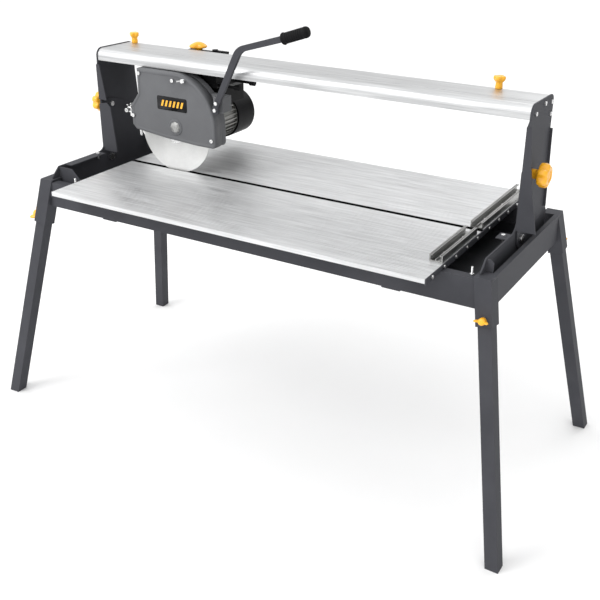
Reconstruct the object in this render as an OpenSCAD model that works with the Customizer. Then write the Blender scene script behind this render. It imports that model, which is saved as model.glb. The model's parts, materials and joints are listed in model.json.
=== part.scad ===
// Bridge tile cutter: a saw head on a rail over a split table, on four splayed legs.
// X runs along the rail, Y to the rear and Z up.
// The origin is on the floor, under the middle of the machine.

/* [Frame] */
// Length of the frame over its corner sockets
frame_l = 1408; // [1380:1:1440]
// Width of the frame over its corner sockets
frame_w = 546; // [536:1:560]
// Height of the frame's top above the floor
frame_top = 700; // [660:1:740]
// Height of the frame beams
beam_h = 74; // [66:1:80]
// Outside width of a corner socket
socket_w = 42; // [42:1:46]
// Length of a right-hand corner socket, along the leg
socket_l = 104; // [90:1:130]
// Width of a square leg tube
leg_w = 34; // [32:0.5:34]
// How far a foot stands out beyond the frame along the length
splay_x = 132; // [100:1:150]
// How far a foot stands out beyond the frame across the width
splay_y = 121; // [100:1:130]

/* [Table] */
// Length of the table planks
table_l = 1152; // [1100:1:1180]
// Width of the table over both halves
table_w = 710; // [700:1:730]
// Thickness of the table planks
plank_t = 12; // [11:0.5:13]
// Planks in each half of the table
plank_n = 5; // [4:1:6]
// Width of the slot that the blade runs in
slot_w = 13; // [13:0.5:15]

/* [Bridge] */
// Front face of the rail
rail_front = -16; // [-18:1:-14]
// Back face of the rail
rail_back = 146; // [144:1:148]
// Top of the rail
rail_top = 1048; // [1044:1:1052]
// Largest tilt of the bridge towards the front, in degrees
tilt_max = 45; // [30:1:45]

/* [Saw head] */
// Place of the blade's axis along the rail, with the carriage at its left stop
head_x = -400; // [-405:1:-395]
// Height of the blade's axis
axis_z = 831; // [831:1:832]
// Diameter of the blade
blade_d = 250; // [240:1:252]
// Thickness of the blade's rim
blade_t = 2.4; // [2:0.1:3]
// Diameter of the motor body over its fins
motor_d = 132; // [126:1:134]
// Back end of the fan cowl
cowl_back = 325; // [315:1:335]

/* [Hidden] */
$fn = 48;

// Colours
steel_grey = "#46484b";
guard_grey = "#7b7d80";
alu = "#c9cbcc";
bright = "#d8d9da";
yellow = "#f2a51e";
black = "#1c1c1e";

// Frame
half_l = frame_l / 2;
half_w = frame_w / 2;
sheet_t = 2.5;
long_beam_w = 30;
end_rise = 6;
end_top = frame_top + end_rise;
recess = 4;
beam_z = frame_top - beam_h;
lip_w = 12;
side_flange_w = 44;
socket_wall = (socket_w - leg_w) / 2 - 0.4;
leg_wall = 2;
leg_length = norm([splay_x, splay_y, frame_top]);
lean_x = asin(splay_y / leg_length);
lean_y = asin(splay_x / (leg_length * cos(lean_x)));
leg_top_gap = 12;
left_socket_extra = 24;
leg_knob_rise = 16;
cross_w = 40;
cross_h = 40;
cross_xs = [-500, 0, 500];
slot_relief = 12;
strap_w = 50;
strap_t = 5;
tray_w = 472;
tray_l = 1304;
tray_depth = 32;

// Table
table_z = frame_top;
table_top = table_z + plank_t;
half_table = (table_w - slot_w) / 2;
plank_w = half_table / plank_n;
end_bar_t = 3;
end_screw_ys = [for (s = [-1, 1], k = [0 : plank_n - 1]) s * (slot_w / 2 + plank_w * (k + 0.5))];
fence_x = 540;
fence_w = 34;
fence_h = 18;
fence_lip = 8;
fence_gap_front = -32;
fence_gap_back = 8;
fence_front_end = -251;
fence_screw_ys = [-201, -80, 70, 200, 320];

// Bracket, arm and tilt pivot, in distances from the middle plane
plate_t = 4;
bracket_in = 668;
bracket_out = bracket_in + plate_t;
arm_in = bracket_out + 0.3;
arm_out = arm_in + plate_t;
rail_l = 2 * arm_in;
pivot_z = table_top;
pivot_r = 6;
foot_top = frame_top + 38;
post_top = frame_top + 192;
fold_w = 26;
fold_screw_ys = [-72, 185];
post_front = -24;
arm_front_left = -19;
arm_front_right = -30;
lock_y = 20;
lock_z = 876;
lock_r = norm([lock_y, lock_z - pivot_z]);
lock_angle = atan2(lock_z - pivot_z, lock_y);
lock_bolt_r = 4;

// Rail
rail_wall = 3.5;
rail_lip_z = 1014;
rail_skirt_z = 985;
front_round = 22;
back_round = 18;
rod_r = 8;
rod_ys = [46, 112];
rod_z = 1016;
rail_screw_yz = [[12, 1024], [78, 1036], [128, 1030], [128, 1000]];

// Carriage
carriage_left = -150;
carriage_right = 135;
deck_z = 1038;
carriage_front = 28;
carriage_back = 172;
plate_z = 968;
plate_h = 12;
bush_r = 12;
bush_l = 44;
bush_xs = [head_x - 110, head_x + 110];
clearance = 0.05;
buffer_l = 16;
right_stem = 54;

// Guard, in X and Z about the head's place
guard_front = -40;
guard_split = -8;
guard_rear = 13;
boss_r = 6;
shell = 3;
dome_x = head_x + 25;
dome_z = axis_z + 34;
dome_r = 147;

// Motor
housing_r = 56;
motor_front = 50;
rim_t = 4;
fin_n = 30;
fin_h = 7;
motor_back = 236;
cowl_r = 71;
fan_y = motor_back + 22;
box_y = 132;
box_z = axis_z + motor_d / 2;
shaft_r = 12;
arbor_r = 12.7;

// Handle
handle_y = -52;
handle_t = 10;
handle_w = 17;
lug_low = axis_z + 86;
lug_high = axis_z + 130;
lug_screw_xz = [[head_x + 184, axis_z + 97], [head_x + 189, axis_z + 117]];

// Water tap
valve_x = head_x - 150;
valve_y = -20;
valve_z = axis_z + 52;
tail_r = 6;

// ---------------------------------------------------------------- helpers

// Points along an arc, for a polygon
function arc(cx, cy, r, a0, a1, n = 12) =
    [for (i = [0 : n]) let (a = a0 + (a1 - a0) * i / n) [cx + r * cos(a), cy + r * sin(a)]];

// Stands a Y-Z outline up and extrudes it along X, from x0 to x1
module along_x(x0, x1) {
    translate([x0, 0, 0])
        rotate([90, 0, 90])
            linear_extrude(x1 - x0)
                children();
}

// Stands an X-Z outline up and extrudes it along Y, from y0 to y1
module along_y(y0, y1) {
    translate([0, y1, 0])
        rotate([90, 0, 0])
            linear_extrude(y1 - y0)
                children();
}

// A box given by its lowest and highest corners
module box(low, high) {
    translate(low)
        cube(high - low);
}

// A cylinder along X from x0 to x1
module rod_x(x0, x1, y, z, r) {
    translate([x0, y, z])
        rotate([0, 90, 0])
            cylinder(h = x1 - x0, r = r);
}

// A cylinder along Y from y0 to y1
module rod_y(y0, y1, x, z, r) {
    translate([x, y0, z])
        rotate([-90, 0, 0])
            cylinder(h = y1 - y0, r = r);
}

// A hexagon screw that points down -Z, with its head's underside at the origin
module hex_screw(r, length, head_r = 0, head_h = 0) {
    translate([0, 0, -length])
        cylinder(h = length, r = r);
    cylinder(h = head_h > 0 ? head_h : r * 1.4, r = head_r > 0 ? head_r : r * 1.9, $fn = 6);
}

// A round-headed screw that points down -Z
module pan_screw(r, length) {
    translate([0, 0, -length])
        cylinder(h = length, r = r);
    difference() {
        cylinder(h = r * 1.2, r = r * 1.8);
        translate([-r * 1.1, -r * 0.22, r * 0.7])
            cube([r * 2.2, r * 0.44, r]);
        translate([-r * 0.22, -r * 1.1, r * 0.7])
            cube([r * 0.44, r * 2.2, r]);
    }
}

// Length of a socket; the left ones are longer
function socket_length(sx) = sx < 0 ? socket_l + left_socket_extra : socket_l;

// Puts its children in a leg's frame: the leg runs down -Z from the frame's outer corner
module leg_frame(sx, sy) {
    translate([sx * half_l, sy * half_w, frame_top])
        rotate([sy * lean_x, -sx * lean_y, 0])
            children();
}

// A square bar in a leg's frame, inset from the outer corner
module leg_bar(sx, sy, width, z0, z1) {
    leg_frame(sx, sy)
        translate([-sx * socket_w / 2, -sy * socket_w / 2, z0])
            translate([-width / 2, -width / 2, 0])
                cube([width, width, z1 - z0]);
}

// Puts its children on a socket's outer face with +Z outwards: the end face on the left legs,
// the long face on the right ones
module knob_frame(sx, sy) {
    leg_knob_drop = socket_length(sx) - leg_knob_rise;
    leg_frame(sx, sy)
        if (sx < 0)
            translate([0, -sy * socket_w / 2, -leg_knob_drop])
                rotate([0, -90, 0])
                    children();
        else
            translate([-socket_w / 2, 0, -leg_knob_drop])
                rotate([-90 * sy, 0, 0])
                    children();
}

// ---------------------------------------------------------------- frame

// Hollow long beam at the front (side -1) or the back (side 1)
module long_beam(side) {
    y_out = side * (half_w - recess);
    y_in = side * (half_w - long_beam_w);
    difference() {
        box([-half_l + 6, min(y_out, y_in), beam_z], [half_l - 6, max(y_out, y_in), frame_top]);
        box([-half_l, min(y_out, y_in) + sheet_t, beam_z + sheet_t],
            [half_l, max(y_out, y_in) - sheet_t, frame_top - sheet_t]);
        for (sx = [-1, 1])
            leg_bar(sx, side, socket_w, -socket_length(sx), 20);
    }
}

module front_beam() {
    color(steel_grey) long_beam(-1);
}

module rear_beam() {
    color(steel_grey) long_beam(1);
}

// Open channel at the left (side -1) or right (side 1) end
module side_channel(side) {
    mirror([side < 0 ? 1 : 0, 0, 0])
        difference() {
            union() {
                box([half_l - sheet_t, -half_w + 6, beam_z], [half_l, half_w - 6, end_top]);
                box([half_l - lip_w, -half_w + 6, end_top - sheet_t],
                    [half_l, half_w - 6, end_top]);
                box([half_l - side_flange_w, -half_w + 6, beam_z],
                    [half_l, half_w - 6, beam_z + sheet_t]);
            }
            for (sy = [-1, 1])
                leg_bar(1, sy, socket_w, -socket_length(side), 20);
            for (sy = [-1, 1])
                box([half_l - side_flange_w - 1, min(sy * half_w, sy * (half_w - long_beam_w)), beam_z - 1],
                    [half_l - 6, max(sy * half_w, sy * (half_w - long_beam_w)), frame_top + 0.1]);
        }
}

module left_beam() {
    color(steel_grey) side_channel(-1);
}

module right_beam() {
    color(steel_grey) side_channel(1);
}

// Splayed square socket, closed at its top, with a boss for the clamping knob
module socket(sx, sy) {
    color(steel_grey)
        difference() {
            union() {
                intersection() {
                    leg_bar(sx, sy, socket_w, -socket_length(sx), 20);
                    box([-half_l - 200, -half_w - 200, 0], [half_l + 200, half_w + 200, end_top]);
                }
                knob_frame(sx, sy)
                    translate([0, 0, -1])
                        cylinder(h = 5, r = 9);
            }
            leg_bar(sx, sy, socket_w - 2 * socket_wall, -socket_length(sx) - 1, -leg_top_gap + 4);
            knob_frame(sx, sy)
                translate([0, 0, -socket_wall * 2])
                    cylinder(h = 30, r = 4.05);
        }
}

module socket_front_left() {
    socket(-1, -1);
}

module socket_front_right() {
    socket(1, -1);
}

module socket_rear_left() {
    socket(-1, 1);
}

module socket_rear_right() {
    socket(1, 1);
}

// Square tubes under the planks, and flat straps that carry the water tray
module cross_members() {
    y_in = half_w - long_beam_w;
    color(steel_grey) {
        for (x = cross_xs)
            difference() {
                box([x - cross_w / 2, -y_in, frame_top - cross_h], [x + cross_w / 2, y_in, frame_top]);
                box([x - cross_w / 2 + sheet_t, -y_in - 1, frame_top - cross_h + sheet_t],
                    [x + cross_w / 2 - sheet_t, y_in + 1, frame_top - sheet_t]);
                box([x - cross_w, -16, frame_top - slot_relief], [x + cross_w, 16, frame_top + 1]);
            }
        for (x = [-450, 450])
            box([x - strap_w / 2, -half_w + 8, beam_z - strap_t], [x + strap_w / 2, half_w - 8, beam_z]);
    }
}

module water_tray() {
    wall = 3;
    color(black)
        difference() {
            box([-tray_l / 2, -tray_w / 2, beam_z], [tray_l / 2, tray_w / 2, beam_z + tray_depth]);
            box([-tray_l / 2 + wall, -tray_w / 2 + wall, beam_z + wall],
                [tray_l / 2 - wall, tray_w / 2 - wall, beam_z + tray_depth + 1]);
        }
}

// ---------------------------------------------------------------- table

// Outline of one ribbed plank, from y = 0 to its width, with its top at z = 0
module plank_outline() {
    rib_n = 9;
    joint = 0.4;
    width = plank_w - 2 * joint;
    pitch = width / rib_n;
    skin = 3;
    web = 3;
    difference() {
        translate([joint, -plank_t])
            square([width, plank_t]);
        for (k = [0 : rib_n - 1])
            translate([joint + pitch * (k + 0.5) - 1.1, -0.9])
                square([2.2, 2]);
        for (k = [0, 1])
            translate([joint + web + k * (width - web) / 2, -plank_t - 1])
                square([(width - 3 * web) / 2, plank_t - skin + 1]);
        translate([plank_w / 2, -plank_t / 2 - 0.5])
            circle(r = 2.6);
    }
    // round port that the end screw bites into
    translate([plank_w / 2, -plank_t / 2 - 0.5])
        difference() {
            circle(r = 4.4);
            circle(r = 2.6);
            translate([-5, 2.5])
                square([10, 5]);
        }
}

// One half of the table, made of separate planks
module table_half(side) {
    color(alu)
        for (k = [0 : plank_n - 1]) {
            y = side > 0 ? slot_w / 2 + k * plank_w : -slot_w / 2 - (k + 1) * plank_w;
            difference() {
                along_x(-table_l / 2, table_l / 2)
                    translate([y, table_top])
                        plank_outline();
                for (ys = fence_screw_ys)
                    translate([fence_x + fence_w / 2, ys, table_top - plank_t - 1])
                        cylinder(h = plank_t + 2, r = 3.15);
            }
        }
}

module table_front() {
    table_half(-1);
}

module table_rear() {
    table_half(1);
}

// Angle along each end of the planks
module table_end_bars() {
    color(steel_grey)
        for (side = [-1, 1])
            mirror([side < 0 ? 1 : 0, 0, 0])
                difference() {
                    union() {
                        box([table_l / 2, -table_w / 2, table_z - end_bar_t],
                            [table_l / 2 + end_bar_t, table_w / 2, table_top - 0.6]);
                        box([table_l / 2 - 36, -half_w + long_beam_w + 1, table_z - end_bar_t],
                            [table_l / 2 + 1, half_w - long_beam_w - 1, table_z]);
                    }
                    for (y = end_screw_ys)
                        rod_x(table_l / 2 - 1, table_l / 2 + 10, y, table_top - plank_t / 2 - 0.5, 2.65);
                    box([table_l / 2 - 40, -12, table_z - 5], [table_l / 2 - 6, 12, table_z + 1]);
                    for (sy = [-1, 1])
                        box([table_l / 2 - 2, min(sy * (half_w + 1), sy * (half_w - long_beam_w - 1)),
                             table_z - 5],
                            [table_l / 2 + 5, max(sy * (half_w + 1), sy * (half_w - long_beam_w - 1)),
                             table_z]);
                }
}

// Screws in the planks' ends and the fences' feet
module table_screws() {
    color(bright) {
        for (side = [-1, 1])
            for (y = end_screw_ys)
                translate([side * (table_l / 2 + end_bar_t), y, table_top - plank_t / 2 - 0.5])
                    rotate([0, side * 90, 0])
                        pan_screw(2.55, 16);
        for (y = fence_screw_ys)
            translate([fence_x + fence_w / 2, y, table_top + 3])
                hex_screw(3, 12);
    }
}

// Slotted channel that tiles are laid against, across the table's right end
module fence(y0, y1) {
    wall = 3;
    middle = fence_w / 2;
    color(alu)
        difference() {
            along_y(y0, y1)
                translate([fence_x, table_top])
                    difference() {
                        square([fence_w, fence_h]);
                        translate([wall, wall])
                            square([fence_w - 2 * wall, fence_h - 2 * wall]);
                        translate([fence_lip, wall])
                            square([fence_w - 2 * fence_lip, fence_h]);
                        // grooves along the lips
                        for (x = [fence_lip / 2, fence_w - fence_lip / 2])
                            translate([x - 1, fence_h - 1.2])
                                square([2, 2]);
                    }
            for (y = fence_screw_ys)
                translate([fence_x + middle, y, table_top - 1])
                    cylinder(h = wall + 2, r = 3.15);
        }
    // low rib along the floor, parted around the screws' heads
    color(alu)
        difference() {
            box([fence_x + middle - 1.5, y0, table_top + wall - 0.5],
                [fence_x + middle + 1.5, y1, table_top + wall + 5]);
            for (y = fence_screw_ys)
                translate([fence_x + middle, y, table_top])
                    cylinder(h = fence_h, r = 9);
        }
}

module fence_front() {
    fence(fence_front_end, fence_gap_front);
}

module fence_rear() {
    fence(fence_gap_back, table_w / 2);
}

// ---------------------------------------------------------------- tilt brackets and arms

// Outline of the fixed bracket's plate: a long foot, and a quadrant that backs the arm's slot
module bracket_outline() {
    polygon(concat(
        [[-255, frame_top + 12], [-226, foot_top], [post_front - 26, foot_top]],
        arc(post_front - 26, foot_top + 26, 26, -90, 0, 6),
        [[post_front, post_top - 8]],
        arc(post_front + 8, post_top - 8, 8, 180, 90, 4),
        arc(0, pivot_z, lock_r + 16, 84, 33, 12),
        [[154, foot_top + 30], [170, foot_top], [200, foot_top], [214, frame_top + 20],
         [214, beam_z + sheet_t], [-228, beam_z + sheet_t], [-228, end_top + 0.5],
         [-255, end_top + 0.5]]
    ));
}

// Plate of a bracket, drilled for the pivot and the lock bolt
module bracket_plate() {
    difference() {
        along_x(bracket_in, bracket_out)
            bracket_outline();
        rod_x(bracket_in - 1, bracket_out + 1, 0, pivot_z, pivot_r);
        rod_x(bracket_in - 1, bracket_out + 1, lock_y, lock_z, lock_bolt_r + clearance);
    }
}

// Top flanges of the foot, the front one from y = front to the post
module bracket_folds(front) {
    difference() {
        union() {
            box([bracket_in - fold_w, front, foot_top - 3], [bracket_in, -52, foot_top]);
            box([bracket_in - fold_w, 170, foot_top - 3], [bracket_in, 200, foot_top]);
        }
        for (y = fold_screw_ys)
            translate([bracket_in - fold_w / 2, y, foot_top - 5])
                cylinder(h = 10, r = 3.15);
    }
}

// Flange across the foot's front end, from z0 up, with its top corner cut off
module foot_flange(x_plate, x_edge, z0) {
    cut = (x_plate - x_edge) * 0.4;
    along_y(-226, -223)
        polygon([[x_plate, z0], [x_plate, foot_top - 2], [x_edge + cut, foot_top - 2],
                 [x_edge, foot_top - 2 - abs(cut)], [x_edge, z0]]);
}

module bracket_left() {
    color(steel_grey)
        mirror([1, 0, 0]) {
            union() {
                bracket_plate();
                bracket_folds(-200);
                foot_flange(bracket_in + 1, bracket_in - 84, beam_z + tray_depth + 1);
                // front flange of the post, wider towards its foot
                along_y(post_front - 4, post_front)
                    polygon([[bracket_out, foot_top], [bracket_in - 52, foot_top],
                             [bracket_in - 52, foot_top + 20], [bracket_in - 40, post_top - 16],
                             [bracket_in - 26, post_top - 2], [bracket_out, post_top - 8]]);
            }
        }
}

module bracket_right() {
    color(steel_grey)
        union() {
            bracket_plate();
            bracket_folds(-90);
            foot_flange(bracket_out - 1, half_l - lip_w - 2, beam_z + sheet_t);
        }
}

// Pivot bolts, and the screws in the brackets' folds
module bracket_bolts() {
    color(bright)
        for (side = [-1, 1])
            mirror([side < 0 ? 1 : 0, 0, 0]) {
                rod_x(bracket_in - 8, arm_out + 0.5, 0, pivot_z, pivot_r);
                rod_x(arm_out + 0.5, arm_out + 6.5, 0, pivot_z, 11);
                translate([bracket_in - 8, 0, pivot_z])
                    rotate([0, 90, 0])
                        cylinder(h = 8, r = 11, $fn = 6);
                for (y = fold_screw_ys)
                    translate([bracket_in - fold_w / 2, y, foot_top])
                        hex_screw(3, 14);
            }
}

// Bolts that stand in the brackets, through the arms' slots and into the star knobs
module tilt_bolts() {
    nut_t = 7;
    color(bright)
        for (side = [-1, 1])
            mirror([side < 0 ? 1 : 0, 0, 0]) {
                rod_x(bracket_in - 0.1, arm_out + 34, lock_y, lock_z, lock_bolt_r);
                translate([bracket_in - nut_t, lock_y, lock_z])
                    rotate([0, 90, 0])
                        cylinder(h = nut_t, r = 8, $fn = 6);
            }
}

// Half outline of the rail's top, used for the rail and for the arms' heads
function crown(grow) = concat(
    arc(rail_front + front_round, rail_top - front_round, front_round + grow, 180, 96, 8),
    arc(rail_back - back_round, rail_top - 2 - back_round, back_round + grow, 84, 8, 8));

// Arm plate: a head that closes the rail's end, a tall web and a rounded pivot eye
module arm_plate(front) {
    difference() {
        along_x(arm_in, arm_out)
            polygon(concat(
                [[front, foot_top + 4], [front, rail_lip_z - 12], [rail_front - 2, rail_lip_z]],
                crown(2),
                [[rail_back + 2, rail_skirt_z], [148, 960], [168, 748], [150, 728]],
                arc(0, pivot_z, 24, -50, -160, 10)
            ));
        rod_x(arm_in - 1, arm_out + 1, 0, pivot_z, pivot_r + clearance);
        lock_slot();
        for (p = rail_screw_yz)
            rod_x(arm_in - 1, arm_out + 1, p[0], p[1], 3.15);
    }
}

// Arc slot that rides over the lock bolt as the bridge tilts forward
module lock_slot() {
    width = 2 * (lock_bolt_r + 0.5);
    translate([arm_in - 1, 0, pivot_z])
        rotate([90, 0, 90])
            linear_extrude(plate_t + 2) {
                polygon(concat(
                    arc(0, 0, lock_r + width / 2, lock_angle, lock_angle - tilt_max, 24),
                    arc(0, 0, lock_r - width / 2, lock_angle - tilt_max, lock_angle, 24)));
                for (a = [lock_angle, lock_angle - tilt_max])
                    translate([lock_r * cos(a), lock_r * sin(a)])
                        circle(r = width / 2);
            }
}

// Narrow fold down the arm's back edge, from x0 to x1
module arm_back_fold(x0, x1) {
    along_x(x0, x1)
        polygon([[148, 960], [168, 748], [164, 748], [144, 960]]);
}

module arm_left() {
    color(steel_grey)
        union() {
            mirror([1, 0, 0])
                arm_plate(arm_front_left);
            // front fold above the bracket's post
            along_y(arm_front_left - 4, arm_front_left)
                polygon([[-arm_out, post_top + 4], [-arm_out, rail_lip_z - 12],
                         [-arm_out + 12, rail_lip_z - 12], [-arm_out + 30, post_top + 4]]);
        }
}

module arm_right() {
    color(steel_grey)
        union() {
            arm_plate(arm_front_right);
            arm_back_fold(arm_out - 1, arm_out + 6.5);
            // front fold, wider towards its foot
            along_y(arm_front_right - 4, arm_front_right)
                polygon([[arm_in, foot_top + 4], [arm_in, rail_lip_z - 12],
                         [arm_out + 8, rail_lip_z - 12], [arm_out + 17, lock_z + 30],
                         [arm_out + 28, lock_z - 42], [arm_out + 46, foot_top + 4]]);
        }
}

// ---------------------------------------------------------------- rail

module rail() {
    groove = 1.2;
    color(alu)
        difference() {
            along_x(-rail_l / 2, rail_l / 2)
                difference() {
                    polygon(concat(
                        [[rail_front, rail_lip_z]],
                        crown(0),
                        [[rail_back, rail_skirt_z], [rail_back - rail_wall, rail_skirt_z]],
                        arc(rail_back - back_round, rail_top - 2 - back_round, back_round - rail_wall,
                            8, 84, 8),
                        arc(rail_front + front_round, rail_top - front_round, front_round - rail_wall,
                            96, 180, 8),
                        [[rail_front + rail_wall, rail_lip_z]]
                    ));
                    for (y = [34, 70, 106])
                        translate([y, rail_top - groove])
                            square([2.4, 4]);
                }
            for (side = [-1, 1], p = rail_screw_yz)
                rod_x(side * rail_l / 2 - 20, side * rail_l / 2 + 20, p[0], p[1], 3.15);
            // holes for the knobs' studs
            for (x = [-645, 540])
                translate([x, 126, rail_top - 12])
                    cylinder(h = 20, r = 4.05);
        }
    // solid ports behind the rail's skin that the end screws bite into
    color(alu)
        for (side = [-1, 1])
            for (p = rail_screw_yz)
                rail_port(side, p);
}

// A short drilled boss inside the rail's end
module rail_port(side, p) {
    x0 = side < 0 ? -rail_l / 2 : rail_l / 2 - 20;
    difference() {
        intersection() {
            rod_x(x0, x0 + 20, p[0], p[1], 7);
            along_x(x0 - 1, x0 + 21)
                polygon(concat(
                    [[rail_front + rail_wall, rail_skirt_z]],
                    arc(rail_front + front_round, rail_top - front_round,
                        front_round - rail_wall, 180, 96, 8),
                    arc(rail_back - back_round, rail_top - 2 - back_round,
                        back_round - rail_wall, 84, 8, 8),
                    [[rail_back - rail_wall, rail_skirt_z]]));
        }
        rod_x(x0 - 1, x0 + 21, p[0], p[1], 3.15);
    }
}

module guide_rods() {
    color(bright)
        for (y = rod_ys)
            rod_x(-arm_in, arm_in, y, rod_z, rod_r);
}

module rail_screws() {
    color(bright)
        for (side = [-1, 1], p = rail_screw_yz)
            translate([side * arm_out, p[0], p[1]])
                rotate([0, side * 90, 0])
                    pan_screw(3, 22);
}

// ---------------------------------------------------------------- knobs

// Two-winged knob on a stud, standing on z = 0
module wing_knob(span, height, stud_l) {
    color(yellow) {
        cylinder(h = height * 0.55, r = span * 0.26);
        for (s = [-1, 1])
            translate([s * span * 0.26, 0, height * 0.3])
                rotate([0, s * 24, 0])
                    translate([-span * 0.16, -span * 0.12, 0])
                        cube([span * 0.34, span * 0.24, height * 0.62]);
    }
    color(bright)
        translate([0, 0, -stud_l])
            cylinder(h = stud_l + 1, r = 4);
}

// Tall flared knob on a stud, standing on z = 0
module tall_knob(r, height, stud_l) {
    color(yellow) {
        cylinder(h = height * 0.5, r = r * 0.55);
        translate([0, 0, height * 0.45])
            for (k = [0 : 3])
                rotate([0, 0, 90 * k + 45])
                    translate([r * 0.42, 0, 0])
                        cylinder(h = height * 0.55, r = r * 0.5);
    }
    color(bright)
        translate([0, 0, -stud_l])
            cylinder(h = stud_l + 1, r = 4);
}

// Star knob with a long collar and round lobes, standing on z = 0, bored for its bolt
module star_knob(r, height) {
    lobe_n = 6;
    collar_h = 20;
    color(yellow)
        difference() {
            union() {
                cylinder(h = collar_h, r = 12);
                translate([0, 0, collar_h - 2])
                    cylinder(h = height - collar_h + 2, r = r * 0.72);
                for (k = [0 : lobe_n - 1])
                    rotate([0, 0, 360 / lobe_n * k])
                        translate([r * 0.72, 0, collar_h - 1])
                            cylinder(h = height - collar_h - 1, r = r * 0.28);
            }
            translate([0, 0, -1])
                cylinder(h = 38, r = lock_bolt_r + clearance);
        }
}

module tilt_knob(side) {
    translate([side * (arm_out + 0.4), lock_y, lock_z])
        rotate([0, side * 90, 0])
            star_knob(31, 50);
}

module tilt_knob_left() {
    tilt_knob(-1);
}

module tilt_knob_right() {
    tilt_knob(1);
}

module rail_knob_left() {
    translate([-645, 126, rail_top - 1.7])
        wing_knob(34, 30, 10);
}

module rail_knob_right() {
    translate([540, 126, rail_top - 1.7])
        tall_knob(17, 32, 10);
}

module leg_knob(sx, sy) {
    knob_frame(sx, sy)
        translate([0, 0, 4.4])
            wing_knob(34, 26, 4.4 + socket_wall - 0.2);
}

module leg_knob_front_left() {
    leg_knob(-1, -1);
}

module leg_knob_front_right() {
    leg_knob(1, -1);
}

module leg_knob_rear_left() {
    leg_knob(-1, 1);
}

module leg_knob_rear_right() {
    leg_knob(1, 1);
}

// ---------------------------------------------------------------- legs

// Square tube from inside its socket down to the floor
module leg(sx, sy) {
    color(steel_grey)
        intersection() {
            difference() {
                leg_bar(sx, sy, leg_w, -leg_length - 40, -leg_top_gap);
                leg_bar(sx, sy, leg_w - 2 * leg_wall, -leg_length - 41, -leg_top_gap + 1);
            }
            box([-half_l - 200, -half_w - 200, 0], [half_l + 200, half_w + 200, frame_top]);
        }
}

module leg_front_left() {
    leg(-1, -1);
}

module leg_front_right() {
    leg(1, -1);
}

module leg_rear_left() {
    leg(-1, 1);
}

module leg_rear_right() {
    leg(1, 1);
}

// ---------------------------------------------------------------- carriage

// Plate under the rail, with bearing blocks in the rail's cavity and a plate behind it
module carriage() {
    x0 = head_x + carriage_left;
    x1 = head_x + carriage_right;
    back_y = rail_back + 8;
    color(black)
        difference() {
            union() {
                box([x0, carriage_front, plate_z], [x1, carriage_back, plate_z + plate_h]);
                for (x = bush_xs, y = rod_ys)
                    box([x - bush_l / 2, y - 16, plate_z + plate_h - 1],
                        [x + bush_l / 2, y + 16, rod_z + 15]);
                box([head_x - 70, back_y, plate_z], [head_x + 70, back_y + 6, deck_z]);
                box([head_x - 70, back_y, deck_z - 6], [head_x + 70, carriage_back + 12, deck_z]);
            }
            for (x = bush_xs, y = rod_ys)
                rod_x(x - bush_l, x + bush_l, y, rod_z, bush_r);
            for (x = [head_x - 32, head_x + 30])
                translate([x, carriage_back - 2, deck_z - 10])
                    cylinder(h = 20, r = 4.05);
        }
}

// Plain bearings that slide on the guide rods
module bushings() {
    color("#b08d57")
        for (x = bush_xs, y = rod_ys)
            difference() {
                rod_x(x - bush_l / 2, x + bush_l / 2, y, rod_z, bush_r);
                rod_x(x - bush_l, x + bush_l, y, rod_z, rod_r + clearance);
            }
}

// Rubber stops on stems at the carriage's ends
module buffers() {
    color(black)
        for (spot = [[-1, 120, 4], [1, 44, right_stem], [1, 120, right_stem]])
            translate([head_x + (spot[0] < 0 ? carriage_left : carriage_right), spot[1],
                       plate_z + plate_h / 2])
                rotate([0, spot[0] * 90, 0]) {
                    cylinder(h = spot[2], r = 4);
                    translate([0, 0, spot[2]])
                        cylinder(h = buffer_l, r = 8);
                }
}

module carriage_knob() {
    translate([head_x - 32, carriage_back - 2, deck_z + 0.4])
        wing_knob(46, 26, 10);
}

// Flat lever that pins the carriage for transport
module travel_lever() {
    x = head_x + 30;
    y = carriage_back - 2;
    color(black)
        translate([x, y, deck_z + 0.4]) {
            cylinder(h = 7, r = 9);
            translate([0, -6, 1])
                cube([44, 12, 4]);
            translate([44, 0, 1])
                cylinder(h = 4, r = 6);
            translate([0, 0, -10])
                cylinder(h = 11, r = 4);
        }
}

// ---------------------------------------------------------------- saw head

// Casting that hangs from the carriage and holds the spindle
module head_bracket() {
    color(steel_grey)
        difference() {
            union() {
                rod_y(guard_rear, motor_front, head_x, axis_z, housing_r);
                along_y(guard_rear + 8, motor_front)
                    polygon([[head_x - 44, axis_z], [head_x + 44, axis_z],
                             [head_x + 70, plate_z], [head_x - 70, plate_z]]);
                for (s = [-1, 1])
                    along_x(head_x + s * 34 - 5, head_x + s * 34 + 5)
                        polygon([[motor_front - 1, 905], [150, plate_z], [motor_front - 1, plate_z]]);
                box([head_x - 70, carriage_front, plate_z - 8], [head_x + 70, 150, plate_z]);
            }
            rod_y(guard_rear - 1, motor_front + 1, head_x, axis_z, 18);
            rod_y(guard_rear + 6, guard_rear + 22, head_x, axis_z, 26);
        }
}

// Outline of the guard, grown inwards by t
function guard_points(t) = concat(
    [[head_x - 105 + t, dome_z + dome_r - t]],
    arc(dome_x, dome_z, dome_r - t, 90, 0, 24),
    arc(head_x + 158 - t, axis_z - 8 + t, 14, 0, -90, 6),
    [[head_x + 100, axis_z - 21 + t], [head_x - 12, axis_z - 14 + t], [head_x - 120, axis_z - 2 + t],
     [head_x - 133 + t, axis_z + 12], [head_x - 133 + t, axis_z + 72],
     [head_x - 105 + t, axis_z + 108]]);

// Outline of the guard's hollow, which is open below
function hollow_points() = concat(
    [[head_x - 105 + shell, dome_z + dome_r - shell]],
    arc(dome_x, dome_z, dome_r - shell, 90, 0, 24),
    [[head_x + 172 - shell, axis_z - 40], [head_x - 133 + shell, axis_z - 40],
     [head_x - 133 + shell, axis_z + 70], [head_x - 105 + shell, axis_z + 106]]);

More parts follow.
